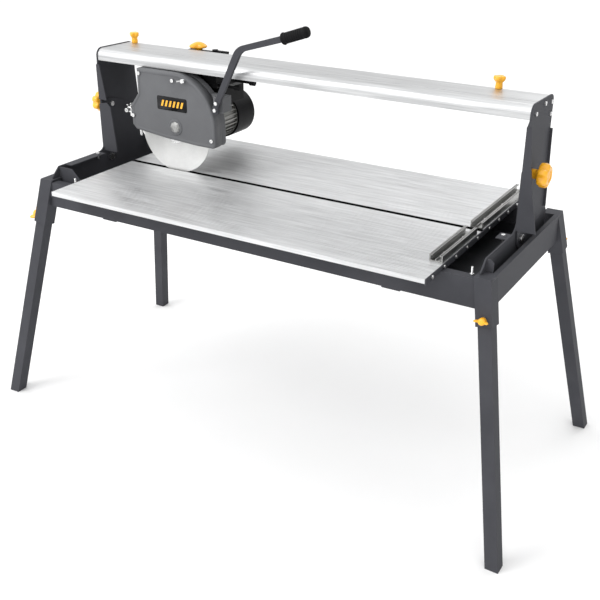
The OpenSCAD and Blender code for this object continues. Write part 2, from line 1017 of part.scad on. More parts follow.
// Places of the guard's screws in X and Z
guard_screw_xz = [[head_x + 28, axis_z + 160], [head_x + 160, axis_z + 2], [head_x - 95, axis_z + 168],
                  [head_x - 126, axis_z + 40]];

module guard_bosses(y0, y1) {
    for (p = guard_screw_xz)
        intersection() {
            rod_y(y0, y1, p[0], p[1], boss_r);
            along_y(y0, y1)
                polygon(guard_points(0));
        }
}

module guard_holes() {
    for (p = guard_screw_xz)
        rod_y(guard_front - 1, guard_rear + 1, p[0], p[1], 3.15);
}

// Back half of the guard, fixed to the spindle housing, with the handle's lug
module guard_back() {
    color(guard_grey)
        difference() {
            union() {
                difference() {
                    along_y(guard_split, guard_rear)
                        polygon(guard_points(0));
                    along_y(guard_split - 1, guard_rear - shell)
                        polygon(hollow_points());
                }
                guard_bosses(guard_split, guard_rear);
                box([head_x + 166, guard_front + 6, lug_low], [head_x + 198, guard_split + 1, lug_high]);
                box([head_x + 142, guard_split, lug_low], [head_x + 198, guard_rear - 4, lug_high]);
            }
            rod_y(guard_rear - 10, guard_rear + 1, head_x, axis_z, 18);
            guard_holes();
            for (p = lug_screw_xz)
                rod_y(guard_front, 0, p[0], p[1], 3.15);
        }
}

// Front half of the guard, with a raised dome over the arbor
module guard_cover() {
    color(guard_grey)
        difference() {
            union() {
                difference() {
                    along_y(guard_front, guard_split)
                        polygon(guard_points(0));
                    along_y(guard_front + shell, guard_split + 1)
                        polygon(hollow_points());
                }
                guard_bosses(guard_front, guard_split);
                translate([head_x + 30, guard_front, axis_z + 24])
                    rotate([90, 0, 0])
                        cylinder(h = 5, r1 = 20, r2 = 14);
            }
            guard_holes();
        }
}

// Screws that hold the guard's halves and the handle
module guard_screws() {
    color(bright) {
        for (p = guard_screw_xz)
            translate([p[0], guard_front, p[1]])
                rotate([90, 0, 0])
                    pan_screw(3, guard_rear - guard_front - 8);
        for (p = lug_screw_xz)
            translate([p[0], handle_y, p[1]])
                rotate([90, 0, 0])
                    hex_screw(3, 28);
        // wing nut at the top of the cover
        translate([head_x + 68, guard_front, axis_z + 164])
            rotate([90, 0, 0]) {
                cylinder(h = 9, r = 6);
                for (s = [-1, 1])
                    translate([s * 5 - 1.5, -2, 4])
                        rotate([0, s * 30, 0])
                            cube([3, 4, 14]);
            }
    }
}

// ---------------------------------------------------------------- motor and spindle

module motor_body() {
    core_r = motor_d / 2 - fin_h;
    color(bright)
        difference() {
            union() {
                rod_y(motor_front, motor_front + rim_t, head_x, axis_z, motor_d / 2 - 2);
                rod_y(motor_front, motor_back, head_x, axis_z, core_r);
                rod_y(motor_back - 12, motor_back, head_x, axis_z, motor_d / 2);
                for (k = [0 : fin_n - 1])
                    translate([head_x, 0, axis_z])
                        rotate([0, 360 / fin_n * (k + 0.5), 0])
                            box([-1.3, motor_front + rim_t - 1, core_r - 2],
                                [1.3, motor_back - 8, motor_d / 2]);
            }
            rod_y(motor_front + 16, motor_back - 24, head_x, axis_z, core_r - 8);
            rod_y(motor_front - 1, motor_back + 1, head_x, axis_z, shaft_r + 2);
            rod_y(motor_back - 14, motor_back + 1, head_x, axis_z, 26);
        }
}

// A ball bearing at each end of the shaft
module bearings() {
    color(bright)
        for (y = [guard_rear + 6, motor_back - 14])
            difference() {
                rod_y(y, y + (y < 100 ? 16 : 14), head_x, axis_z, 26);
                rod_y(y - 1, y + 17, head_x, axis_z, shaft_r + clearance);
            }
}

module fan_cowl() {
    wall = 2.5;
    color(black)
        difference() {
            union() {
                rod_y(motor_back - 8, cowl_back - 10, head_x, axis_z, cowl_r);
                translate([head_x, cowl_back - 10, axis_z])
                    rotate([-90, 0, 0])
                        cylinder(h = 10, r1 = cowl_r, r2 = cowl_r - 8);
            }
            rod_y(motor_back + 4, cowl_back - wall, head_x, axis_z, cowl_r - 8 - wall);
            rod_y(motor_back - 9, motor_back, head_x, axis_z, motor_d / 2);
            rod_y(motor_back - 1, cowl_back - 12, head_x, axis_z, cowl_r - wall);
            for (k = [0 : 11])
                translate([head_x, 0, axis_z])
                    rotate([0, 30 * k, 0])
                        box([-3, cowl_back - 8, 20], [3, cowl_back + 1, 48]);
        }
}

// Box with the switch, on top of the motor
module switch_box() {
    x0 = head_x + 8;
    x1 = head_x + 92;
    color(black)
        difference() {
            union() {
                box([x0, box_y, box_z - 2], [x1, box_y + 94, box_z + 46]);
                box([head_x - 34, box_y + 10, box_z - 8], [x0 + 1, box_y + 84, box_z + 12]);
            }
            rod_y(box_y - 5, box_y + 100, head_x, axis_z, motor_d / 2 + 0.2);
            box([x1 - 40, box_y + 24, box_z + 34], [x1 - 12, box_y + 64, box_z + 47]);
        }
}

// Rocker that turns the saw on and off, in the box's top, with its off side pressed
module switch_rocker() {
    color(black)
        translate([head_x + 66, box_y + 44, box_z + 40])
            rotate([-8, 0, 0])
                along_x(-13, 13) {
                    polygon([[-15, -1.5], [15, -1.5], [17, 8], [0, 5], [-17, 8]]);
                    circle(r = 3);
                }
}

module blade() {
    color("#e4e4e2")
        difference() {
            rod_y(-blade_t / 2, blade_t / 2, head_x, axis_z, blade_d / 2);
            rod_y(-5, 5, head_x, axis_z, arbor_r);
            difference() {
                rod_y(-5, -blade_t / 2 + 0.3, head_x, axis_z, blade_d / 2 - 8);
                rod_y(-6, 0, head_x, axis_z, 38);
            }
            difference() {
                rod_y(blade_t / 2 - 0.3, 5, head_x, axis_z, blade_d / 2 - 8);
                rod_y(0, 6, head_x, axis_z, 38);
            }
        }
}

module blade_flanges() {
    color(bright)
        for (side = [-1, 1])
            difference() {
                translate([head_x, side * blade_t / 2, axis_z])
                    rotate([-side * 90, 0, 0]) {
                        cylinder(h = 3, r = 36);
                        translate([0, 0, 3])
                            cylinder(h = 4, r = 26);
                    }
                rod_y(-10, 10, head_x, axis_z, arbor_r);
            }
}

module arbor_nut() {
    color(bright)
        difference() {
            translate([head_x, -blade_t / 2 - 7, axis_z])
                rotate([90, 0, 0])
                    cylinder(h = 10, r = 21, $fn = 6);
            rod_y(-30, 0, head_x, axis_z, arbor_r);
        }
}

// Shaft with the rotor core; the blade sits on its front nose
module rotor_shaft() {
    color(bright) {
        rod_y(-blade_t / 2 - 19, blade_t / 2 + 7, head_x, axis_z, arbor_r);
        rod_y(blade_t / 2 + 7, guard_rear - 4, head_x, axis_z, 16);
        rod_y(guard_rear - 4, fan_y + 32, head_x, axis_z, shaft_r);
        rod_y(motor_front + 30, motor_back - 44, head_x, axis_z, 38);
    }
}

// Fan on the shaft's back end
module cooling_fan() {
    color(yellow)
        difference() {
            union() {
                rod_y(fan_y, fan_y + 28, head_x, axis_z, 20);
                rod_y(fan_y, fan_y + 3, head_x, axis_z, 54);
                for (k = [0 : 7])
                    translate([head_x, 0, axis_z])
                        rotate([0, 45 * k, 0])
                            box([-1.2, fan_y + 1, 18], [1.2, fan_y + 26, 54]);
            }
            rod_y(fan_y - 5, fan_y + 40, head_x, axis_z, shaft_r);
        }
}

// ---------------------------------------------------------------- handle and water

// Flat bar from the guard's side, up in front of the rail and over to the grip
module handle_bar() {
    h = handle_w / 2;
    color(steel_grey)
        difference() {
            along_y(handle_y, handle_y + handle_t)
                polygon(concat(
                    [[head_x + 184 - h, lug_low], [head_x + 184 + h, lug_low],
                     [head_x + 184 + h, axis_z + 104]],
                    arc(head_x + 300, axis_z + 238, 34, 157, 108, 6),
                    [[head_x + 413, axis_z + 306], [head_x + 407, axis_z + 322]],
                    arc(head_x + 296, axis_z + 236, 51, 106, 157, 6),
                    [[head_x + 184 - h, axis_z + 106]]));
            for (p = lug_screw_xz)
                rod_y(handle_y - 1, handle_y + handle_t + 1, p[0], p[1], 3.15);
        }
}

// Round grip over the bar's upper end
module handle_grip() {
    grip_r = 15;
    grip_l = 66;
    color(black)
        translate([head_x + 408, handle_y + handle_t / 2, axis_z + 313.3])
            rotate([0, 90 - 18.5, 0])
                difference() {
                    union() {
                        cylinder(h = grip_l, r = grip_r);
                        cylinder(h = 6, r = grip_r + 2.5);
                        translate([0, 0, grip_l])
                            sphere(r = grip_r);
                    }
                    translate([-20, -handle_t / 2, -8])
                        cube([40, handle_t, 11]);
                }
}

// Water tap's body with its hose tail, and the nozzle beside the blade
module water_valve() {
    color(bright) {
        difference() {
            union() {
                rod_x(valve_x - 4, head_x - 133, valve_y, valve_z, 6);
                rod_x(valve_x - 4, valve_x + 4, valve_y, valve_z, 9);
                rod_y(valve_y - 9.5, valve_y, valve_x, valve_z, 9);
                rod_y(valve_y - 24, valve_y, valve_x, valve_z, tail_r);
                translate([valve_x, valve_y, axis_z + 30])
                    cylinder(h = valve_z - axis_z - 30, r = 4.5);
            }
            rod_y(valve_y - 25, valve_y - 16, valve_x, valve_z, 3.5);
        }
        rod_x(head_x - 130, head_x - 118, valve_y, axis_z + 14, 3);
        translate([head_x - 118, valve_y, axis_z - 22])
            cylinder(h = 40, r = 4);
        translate([head_x - 118, valve_y, axis_z - 26])
            cylinder(h = 5, r1 = 2.4, r2 = 4);
    }
}

// Lever that opens the water
module water_tap() {
    color(bright)
        translate([valve_x, valve_y, valve_z + 9.3]) {
            cylinder(h = 8, r = 4);
            rotate([0, 0, -90])
                translate([0, -2.5, 4])
                    cube([18, 5, 3]);
        }
}

// ---------------------------------------------------------------- output

front_beam();
rear_beam();
left_beam();
right_beam();
socket_front_left();
socket_front_right();
socket_rear_left();
socket_rear_right();
cross_members();
water_tray();
table_front();
table_rear();
table_end_bars();
table_screws();
fence_front();
fence_rear();
bracket_left();
bracket_right();
bracket_bolts();
tilt_bolts();
arm_left();
arm_right();
rail();
guide_rods();
rail_screws();
rail_knob_left();
rail_knob_right();
tilt_knob_left();
tilt_knob_right();
carriage();
bushings();
buffers();
head_bracket();
guard_back();
guard_cover();
guard_screws();
motor_body();
bearings();
fan_cowl();
switch_box();
handle_bar();
handle_grip();
water_valve();
carriage_knob();
travel_lever();
switch_rocker();
water_tap();
blade();
blade_flanges();
arbor_nut();
rotor_shaft();
cooling_fan();
leg_front_left();
leg_front_right();
leg_rear_left();
leg_rear_right();
leg_knob_front_left();
leg_knob_front_right();
leg_knob_rear_left();
leg_knob_rear_right();
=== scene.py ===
"""Looks of the bridge tile cutter: materials, moulded and turned pieces, light and camera."""

import json
import math

import bmesh
import bpy
from mathutils import Matrix, Vector


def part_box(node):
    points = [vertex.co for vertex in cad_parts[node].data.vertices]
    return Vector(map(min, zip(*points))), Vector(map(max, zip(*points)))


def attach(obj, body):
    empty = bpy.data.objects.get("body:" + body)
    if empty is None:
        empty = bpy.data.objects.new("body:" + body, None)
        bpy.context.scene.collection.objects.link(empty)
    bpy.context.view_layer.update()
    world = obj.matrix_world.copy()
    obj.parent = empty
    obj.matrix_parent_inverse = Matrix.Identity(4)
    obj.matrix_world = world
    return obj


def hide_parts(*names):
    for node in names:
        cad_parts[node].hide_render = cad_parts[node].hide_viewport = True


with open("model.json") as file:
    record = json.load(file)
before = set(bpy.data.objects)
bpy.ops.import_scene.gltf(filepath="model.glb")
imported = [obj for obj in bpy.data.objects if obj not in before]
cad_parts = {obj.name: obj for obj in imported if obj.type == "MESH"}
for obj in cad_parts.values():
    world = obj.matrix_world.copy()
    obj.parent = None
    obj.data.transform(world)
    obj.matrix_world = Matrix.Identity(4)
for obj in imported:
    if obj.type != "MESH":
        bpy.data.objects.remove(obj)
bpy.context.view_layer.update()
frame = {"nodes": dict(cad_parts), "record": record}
MM = 0.001
JOINTS = {joint["name"]: joint for joint in frame["record"]["behaviour"]["joints"]}
SLOTS = {part["node"]: part["material_slot"] for part in frame["record"]["subparts"]}
SPINDLE = Vector(JOINTS["blade_spin"]["pos_m"])
SLOT_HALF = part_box("table_rear")[0].y + 0.0015

# Radii in metres over which a material rounds its edges off
PAINT_EDGE = 0.0011
METAL_EDGE = 0.0007
BLADE_EDGE = 0.0005

# Guard cover, in millimetres: the pressed face lies behind the foremost point of its CAD solid,
# and the middle panel stands proud of that face
GUARD_FACE_DEPTH = 5
GUARD_PANEL_RISE = 1.2
GUARD_SHEET = 2.6

# Levelling bolts, in millimetres: places along the front beam, and how far behind its middle
BOLT_PLACES = (-584, 648)
BOLT_SETBACK = 6

# Grip: its foot from the spindle in metres, its lean in degrees, its ribs' pitch in millimetres
GRIP_FOOT = Vector((0.408, -0.047, 0.3133))
GRIP_LEAN = 18.5
GRIP_RIBS = 8
RIB_PITCH = 6.8

# Leg knobs by side: direction near the wings, span and height in millimetres
LEG_KNOB_LOOKS = (("left", (0, 1, 1), 42, 33), ("right", (1, 0, 0), 35, 27))

# Camera: place in metres, yaw, pitch and roll in degrees, lens and sensor in millimetres
CAMERA_PLACE = (1.326, -2.147, 1.578)
CAMERA_ANGLES = (31.05, 25.55, 0.2)
CAMERA_LENS = 56.0
CAMERA_SENSOR = 36.0

# Light: lamps as name, place, size in metres and watts, the point they aim at, and the
# surroundings' brighter side with the strengths facing away from it and towards it
LAMPS = (("key", (-1.9, -2.6, 3.4), 1.8, 50), ("back", (0.6, 3.0, 3.4), 2.4, 30))
LAMP_AIM = Vector((0, 0, 0.8))
BRIGHT_SIDE = Vector((-0.65, -0.6, 0.5)).normalized()
WORLD_STRENGTH = (0.3, 1.6)
FLOOR_SIZE = 80


# ------------------------------------------------------------------ materials

def new_material(name, metallic=0.0, coat=0.0):
    """A plain material with its node tree and shader, for the caller to fill in."""
    material = bpy.data.materials.new(name)
    material.use_nodes = True
    shader = material.node_tree.nodes["Principled BSDF"]
    shader.inputs["Metallic"].default_value = metallic
    shader.inputs["Coat Weight"].default_value = coat
    shader.inputs["Coat Roughness"].default_value = 0.2
    return material, material.node_tree, shader


def node(tree, kind, **sockets):
    """Adds a node and sets its sockets: a value is set, another node's output is linked."""
    made = tree.nodes.new(kind)
    for name, value in sockets.items():
        socket = made.inputs[name.replace("_", " ")]
        if isinstance(value, bpy.types.NodeSocket):
            tree.links.new(value, socket)
        else:
            socket.default_value = value
    return made


def place_coordinates(tree, stretch=(1, 1, 1)):
    """The object's own coordinates in metres, stretched for grain."""
    own = tree.nodes.new("ShaderNodeTexCoord")
    return node(tree, "ShaderNodeMapping", Vector=own.outputs["Object"], Scale=stretch).outputs[0]


def noise(tree, where, scale, detail=4.0, roughness=0.55):
    made = node(tree, "ShaderNodeTexNoise", Vector=where, Scale=scale, Detail=detail,
                Roughness=roughness)
    return made.outputs["Fac"]


def ramp(tree, value, stops):
    """A colour ramp over (position, grey or colour) stops."""
    made = node(tree, "ShaderNodeValToRGB", Fac=value)
    elements = made.color_ramp.elements
    while len(elements) < len(stops):
        elements.new(0.5)
    for element, (position, colour) in zip(elements, stops):
        element.position = position
        grey = isinstance(colour, (int, float))
        element.color = (colour, colour, colour, 1) if grey else (*colour, 1)
    return made.outputs["Color"]


def map_range(tree, value, start, end, low=0.0, high=1.0):
    """A value running from start to end, mapped onto low to high and held there beyond."""
    made = node(tree, "ShaderNodeMapRange", Value=value)
    made.inputs["From Min"].default_value = start
    made.inputs["From Max"].default_value = end
    made.inputs["To Min"].default_value = low
    made.inputs["To Max"].default_value = high
    return made.outputs["Result"]


def spread(tree, value, low, high):
    """A noise value, which lies mostly between 0.25 and 0.75, mapped onto low to high."""
    return map_range(tree, value, 0.25, 0.75, low, high)


def combine(tree, operation, first, second=None):
    """Arithmetic on one or two values."""
    made = node(tree, "ShaderNodeMath", Value=first)
    made.operation = operation
    if second is not None:
        tree.links.new(second, made.inputs[1])
    return made.outputs[0]


def blend_colours(tree, factor, first, second, mode="MIX"):
    """Second colour over first by a factor; each may be a value or another node's output."""
    made = tree.nodes.new("ShaderNodeMix")
    made.data_type = "RGBA"
    made.blend_type = mode
    # for colours this node uses sockets 0, 6 and 7, and output 2
    for index, value in ((0, factor), (6, first), (7, second)):
        if isinstance(value, bpy.types.NodeSocket):
            tree.links.new(value, made.inputs[index])
        elif index == 0:
            made.inputs[index].default_value = value
        else:
            made.inputs[index].default_value = (*value, 1)
    return made.outputs[2]


def soft_edges(tree, radius):
    """Normals rounded off over a radius in metres, and a mask that is 1 on those edges."""
    bevel = tree.nodes.new("ShaderNodeBevel")
    bevel.samples = 4
    bevel.inputs["Radius"].default_value = radius
    true = tree.nodes.new("ShaderNodeNewGeometry")
    facing = tree.nodes.new("ShaderNodeVectorMath")
    facing.operation = "DOT_PRODUCT"
    tree.links.new(bevel.outputs["Normal"], facing.inputs[0])
    tree.links.new(true.outputs["Normal"], facing.inputs[1])
    return bevel.outputs["Normal"], map_range(tree, facing.outputs["Value"], 0.97, 0.8)


def relief(tree, height, strength, distance, normal):
    """Bump from a 0 to 1 height, over a distance in metres, on top of a normal."""
    made = node(tree, "ShaderNodeBump", Height=height, Strength=strength, Distance=distance,
                Normal=normal)
    return made.outputs["Normal"]


def paint(name, dark, light, roughness=(0.4, 0.55), edge=None, grain=900, depth=0.00006,
          specular=0.5, coat=0.0):
    """Sprayed or moulded surface: cloudy tone, fine orange peel and paler worn edges."""
    material, tree, shader = new_material(name, 0.0, coat)
    shader.inputs["Specular IOR Level"].default_value = specular
    where = place_coordinates(tree)
    clouds = noise(tree, where, 9)
    peel = noise(tree, where, grain, 2.0)
    tone = ramp(tree, clouds, [(0.3, dark), (0.7, light)])
    normal, rim = soft_edges(tree, PAINT_EDGE)
    if edge:
        scratch = spread(tree, noise(tree, where, 160, 6.0, 0.7), 0.1, 0.75)
        tone = blend_colours(tree, combine(tree, "MULTIPLY", rim, scratch), tone, edge)
    tree.links.new(tone, shader.inputs["Base Color"])
    tree.links.new(spread(tree, clouds, *roughness), shader.inputs["Roughness"])
    tree.links.new(relief(tree, peel, 0.35, depth, normal), shader.inputs["Normal"])
    return material


def brushed(name, dark, light, roughness, stretch, scale=40, depth=0.0, detail=5.0,
            band=None, slot=False):
    """Metal with grain drawn out along one direction, with slow tone bands if band is given,
    and with painted shade, a near-black line, along the cutting slot if slot is true."""
    material, tree, shader = new_material(name, 1.0)
    grain = noise(tree, place_coordinates(tree, stretch), scale, detail, 0.65)
    clouds = noise(tree, place_coordinates(tree), 6)
    tone = ramp(tree, grain, [(0.3, dark), (0.7, light)])
    if band:
        bands = noise(tree, place_coordinates(tree, band), 14, 1.0)
        tone = blend_colours(tree, 0.55, tone, ramp(tree, bands, [(0.35, 0.86), (0.65, 1.0)]),
                             "MULTIPLY")
    # painted shade: the metal is made near-black over the slot, standing for the shadow down
    # inside it
    if slot:
        tone = blend_colours(tree, slot_shade_mask(tree), tone, (0.01, 0.01, 0.01))
    tree.links.new(tone, shader.inputs["Base Color"])
    wear = combine(tree, "ADD", spread(tree, grain, *roughness),
                   spread(tree, clouds, -0.05, 0.05))
    tree.links.new(wear, shader.inputs["Roughness"])
    if depth:
        normal, _ = soft_edges(tree, METAL_EDGE)
        tree.links.new(relief(tree, grain, 0.3, depth, normal), shader.inputs["Normal"])
    return material


def slot_shade_mask(tree):
    """1 within the saw's slot, which runs along X below the blade, and 0 beside it: there painted
    shade turns the table near-black to stand for the slot's depth.
    """
    place = node(tree, "ShaderNodeSeparateXYZ", Vector=place_coordinates(tree))
    across = combine(tree, "ABSOLUTE", place.outputs["Y"])
    return map_range(tree, across, SLOT_HALF, SLOT_HALF - 0.0008)


def ground_disc(name):
    """Blade steel: fine rings round the arbor and faint cloudy smears."""
    material, tree, shader = new_material(name, 0.55)
    where = node(tree, "ShaderNodeVectorMath", Vector=place_coordinates(tree))
    where.operation = "SUBTRACT"
    where.inputs[1].default_value = SPINDLE
    distance = tree.nodes.new("ShaderNodeVectorMath")
    distance.operation = "LENGTH"
    tree.links.new(where.outputs[0], distance.inputs[0])
    rings = tree.nodes.new("ShaderNodeTexNoise")
    rings.noise_dimensions = "1D"
    rings.inputs["Scale"].default_value = 900
    tree.links.new(distance.outputs["Value"], rings.inputs["W"])
    smears = noise(tree, where.outputs[0], 22, 5.0)
    tone = ramp(tree, rings.outputs["Fac"], [(0.3, (0.68, 0.68, 0.67)), (0.7, (0.8, 0.8, 0.79))])
    tone = blend_colours(tree, 0.5, tone, ramp(tree, smears, [(0.35, 0.86), (0.65, 1.0)]),
                         "MULTIPLY")
    tree.links.new(tone, shader.inputs["Base Color"])
    tree.links.new(spread(tree, rings.outputs["Fac"], 0.32, 0.46), shader.inputs["Roughness"])
    normal, _ = soft_edges(tree, BLADE_EDGE)
    tree.links.new(relief(tree, rings.outputs["Fac"], 0.15, 0.00003, normal),
                   shader.inputs["Normal"])
    return material


def make_materials():
    """One finished material for each slot, and some for single nodes and pieces."""
    return {
        "grey_paint": paint("grey_paint", (0.054, 0.055, 0.062), (0.067, 0.068, 0.076),
                            (0.45, 0.56), edge=(0.13, 0.135, 0.145), specular=0.05),
        "guard_paint": paint("guard_paint", (0.112, 0.114, 0.12), (0.135, 0.138, 0.145),
                             (0.42, 0.54), edge=(0.28, 0.285, 0.29), grain=520, depth=0.00012,
                             specular=0.2),
        "tray_plastic": paint("tray_plastic", (0.03, 0.031, 0.035), (0.042, 0.043, 0.048),
                              (0.4, 0.55), edge=(0.1, 0.103, 0.11), grain=1300, specular=0.4),
        "aluminium": brushed("aluminium", (0.66, 0.665, 0.67), (0.8, 0.805, 0.81), (0.42, 0.56),
                             (0.25, 5, 5), detail=1.0, band=(0.3, 5, 1), slot=True),
        "rail_aluminium": brushed("rail_aluminium", (0.5, 0.505, 0.51), (0.66, 0.665, 0.67),
                                  (0.36, 0.48), (0.2, 7, 7), scale=30, detail=1.0,
                                  band=(0.4, 10, 12)),
        # darker than the table's aluminium: partly the fences' own duller metal, partly painted
        # shade for the shadow inside their open slots
        "fence_aluminium": brushed("fence_aluminium", (0.24, 0.24, 0.235), (0.46, 0.46, 0.45),
                                   (0.26, 0.4), (14, 0.3, 14), depth=0.00002),
        "cast_aluminium": brushed("cast_aluminium", (0.2, 0.2, 0.19), (0.38, 0.38, 0.365),
                                  (0.36, 0.5), (1, 1, 1), scale=260, depth=0.0001),
        "bright_steel": brushed("bright_steel", (0.7, 0.7, 0.7), (0.88, 0.88, 0.88),
                                (0.2, 0.34), (20, 20, 20), scale=20, depth=0.00001),
        "blade_steel": ground_disc("blade_steel"),
        "yellow_plastic": paint("yellow_plastic", (0.9, 0.4, 0.012), (1.0, 0.5, 0.02),
                                (0.26, 0.38), edge=(1.0, 0.62, 0.08), grain=700, coat=0.3),
        "black_plastic": paint("black_plastic", (0.005, 0.005, 0.0055), (0.01, 0.01, 0.011),
                               (0.34, 0.5), edge=(0.03, 0.03, 0.033), grain=1300, specular=0.07),
        "black_rubber": paint("black_rubber", (0.006, 0.006, 0.0065), (0.012, 0.012, 0.013),
                              (0.55, 0.72), grain=1500, depth=0.0001, specular=0.1),
        "bronze": brushed("bronze", (0.42, 0.28, 0.13), (0.55, 0.38, 0.19), (0.3, 0.42),
                          (40, 1, 40)),
        "label": paint("label", (0.004, 0.004, 0.0045), (0.008, 0.008, 0.009), (0.2, 0.3),
                       grain=300, depth=0.00001, specular=0.15),
    }


NODE_MATERIALS = {"rail": "rail_aluminium", "fence_front": "fence_aluminium",
                  "fence_rear": "fence_aluminium", "water_tray": "tray_plastic"}


def dress_frame(materials):
    """Gives every CAD node its material."""
    for name, part in frame["nodes"].items():
        chosen = materials[NODE_MATERIALS.get(name, SLOTS[name])]
        if not part.data.materials:
            part.data.materials.append(chosen)
        for index in range(len(part.data.materials)):
            part.data.materials[index] = chosen


# ------------------------------------------------------------------ mesh helpers

def axes_at(origin, z_axis, x_hint):
    """Matrix of a local frame whose Z runs along z_axis and whose X is near x_hint."""
    z = Vector(z_axis).normalized()
    y = z.cross(Vector(x_hint)).normalized()
    x = y.cross(z)
    turned = Matrix((x, y, z)).transposed().to_4x4()
    return Matrix.Translation(Vector(origin)) @ turned


def joint_place(joint, x_hint):
    """Matrix of a local frame at a joint, with Z along its axis."""
    link = JOINTS[joint]
    return axes_at(link["pos_m"], link["axis"], x_hint)


def finish_piece(bm, name, material, body, place=None, bevel=0.0, smooth=True,
                 replaces=()):
    """Turns a bmesh in millimetres into a piece of the object that rides on a body."""
    bmesh.ops.recalc_face_normals(bm, faces=bm.faces[:])
    bmesh.ops.scale(bm, vec=(MM, MM, MM), verts=bm.verts[:])
    if place:
        bmesh.ops.transform(bm, matrix=place, verts=bm.verts[:])
    mesh = bpy.data.meshes.new(name)
    bm.to_mesh(mesh)
    bm.free()
    for face in mesh.polygons:
        face.use_smooth = smooth
    mesh.materials.append(material)
    piece = bpy.data.objects.new(name, mesh)
    bpy.context.scene.collection.objects.link(piece)
    if bevel:
        rounded = piece.modifiers.new("rounded", "BEVEL")
        rounded.width = bevel * MM
        rounded.segments = 3
        rounded.limit_method = "ANGLE"
        rounded.angle_limit = math.radians(38)
        rounded.harden_normals = True
    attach(piece, body)
    if replaces:
        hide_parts(*replaces)
    return piece


def loft(bm, rings):
    """Skins closed rings of equal length one after another and caps both ends."""
    loops = [[bm.verts.new(point) for point in ring] for ring in rings]
    count = len(loops[0])
    for lower, upper in zip(loops, loops[1:]):
        for k in range(count):
            bm.faces.new((lower[k], lower[(k + 1) % count], upper[(k + 1) % count], upper[k]))
    bm.faces.new(loops[0][::-1])
    bm.faces.new(loops[-1])


def turned_ring(radius, height, count, lobes, depth):
    """A ring at a height, with hollows between its lobes if lobes isn't 0."""
    ring = []
    for k in range(count):
        angle = 2 * math.pi * k / count
        dip = depth * (0.5 - 0.5 * math.cos(lobes * angle)) ** 1.6 if lobes else 0.0
        here = radius * (1 - dip)
        ring.append((here * math.cos(angle), here * math.sin(angle), height))
    return ring


def turned(bm, profile, count, lobes=0):
    """A turned shape from (radius, height, lobe depth) steps."""
    loft(bm, [turned_ring(r, z, count, lobes, depth) for r, z, depth in profile])


def paddle(bm, root, tip, widths, thicknesses, rise):
    """A rounded wing from root to tip, whose height and thickness are given at each step."""
    rings = []
    steps = len(widths)
    for k in range(steps):
        share = k / (steps - 1)
        centre = Vector(root).lerp(Vector(tip), share) + Vector((0, 0, rise * share * share))
        ring = []
        for i in range(20):
            angle = 2 * math.pi * i / 20
            y = thicknesses[k] / 2 * math.copysign(abs(math.cos(angle)) ** 0.7, math.cos(angle))
            z = widths[k] / 2 * math.copysign(abs(math.sin(angle)) ** 0.7, math.sin(angle))
            ring.append((centre.x, centre.y + y, centre.z + z))
        rings.append(ring)
    loft(bm, rings)


def rounded_box(bm, low, high, radius):
    """A box with rounded upright corners and a small chamfer at its top and bottom."""
    steps = 4
    def outline(inset, z):
        ring = []
        corners = ((high[0], high[1], 0), (low[0], high[1], 90),
                   (low[0], low[1], 180), (high[0], low[1], 270))
        for x, y, start in corners:
            cx = x - math.copysign(radius, x - (low[0] + high[0]) / 2)
            cy = y - math.copysign(radius, y - (low[1] + high[1]) / 2)
            for k in range(steps + 1):
                angle = math.radians(start + 90 * k / steps)
                ring.append((cx + (radius - inset) * math.cos(angle),
                             cy + (radius - inset) * math.sin(angle), z))
        return ring
    soft = min(radius, (high[2] - low[2])) * 0.3
    loft(bm, [outline(soft, low[2]), outline(0, low[2] + soft),
              outline(0, high[2] - soft), outline(soft, high[2])])


# ------------------------------------------------------------------ knobs and grip

def star_knob(name, joint, body, materials):
    """Six-lobed clamping knob on a long collar, with a dished face and a domed middle."""
    place = joint_place(joint, (0, 0, 1))
    bm = bmesh.new()
    turned(bm, [(9.6, 0.5, 0), (11, 1, 0), (11.6, 2, 0), (12, 10, 0), (12.4, 18, 0),
                (15, 20.5, 0.02), (25, 22.5, 0.1), (29.4, 25, 0.2), (31, 29, 0.24),
                (31, 38, 0.24), (29.8, 43, 0.23), (26.5, 46.5, 0.2), (21, 48.5, 0.1),
                (15.5, 48.6, 0.02), (13.6, 47.2, 0), (12.6, 46, 0), (10.5, 46.4, 0),
                (6, 48, 0), (1, 48.5, 0)], count=120, lobes=6)
    finish_piece(bm, name, materials["yellow_plastic"], body, place,
                 replaces=[body])


def wing_knob(name, joint, body, span, height, x_hint, materials):
    """Two-winged knob: a ribbed hub with two rounded wings that rise outwards."""
    place = joint_place(joint, x_hint)
    hub = span * 0.26
    bm = bmesh.new()
    turned(bm, [(hub * 0.86, 0.1, 0), (hub, 1.2, 0.03), (hub, height * 0.42, 0.06),
                (hub * 0.94, height * 0.56, 0.04), (hub * 0.72, height * 0.64, 0),
                (hub * 0.3, height * 0.67, 0)], count=72, lobes=12)
    for side in (-1, 1):
        paddle(bm, (side * hub * 0.45, 0, height * 0.36), (side * span * 0.5, 0, height * 0.56),
               [height * w for w in (0.44, 0.5, 0.54, 0.56, 0.54, 0.44, 0.22)],
               [hub * t for t in (1.0, 0.82, 0.66, 0.58, 0.56, 0.5, 0.24)], height * 0.13)
    finish_piece(bm, name, materials["yellow_plastic"], body, place)
    knob_stud(name, 4, place, body, materials)


def knob_stud(name, length, place, body, materials):
    """Bright threaded end below a knob; the knob and its stud stand for the body's CAD node."""
    bm = bmesh.new()
    turned(bm, [(3.6, -length, 0), (4, -length + 0.5, 0), (4, 0.8, 0)], count=24)
    finish_piece(bm, name + "_stud", materials["bright_steel"], body, place,
                 replaces=[body])


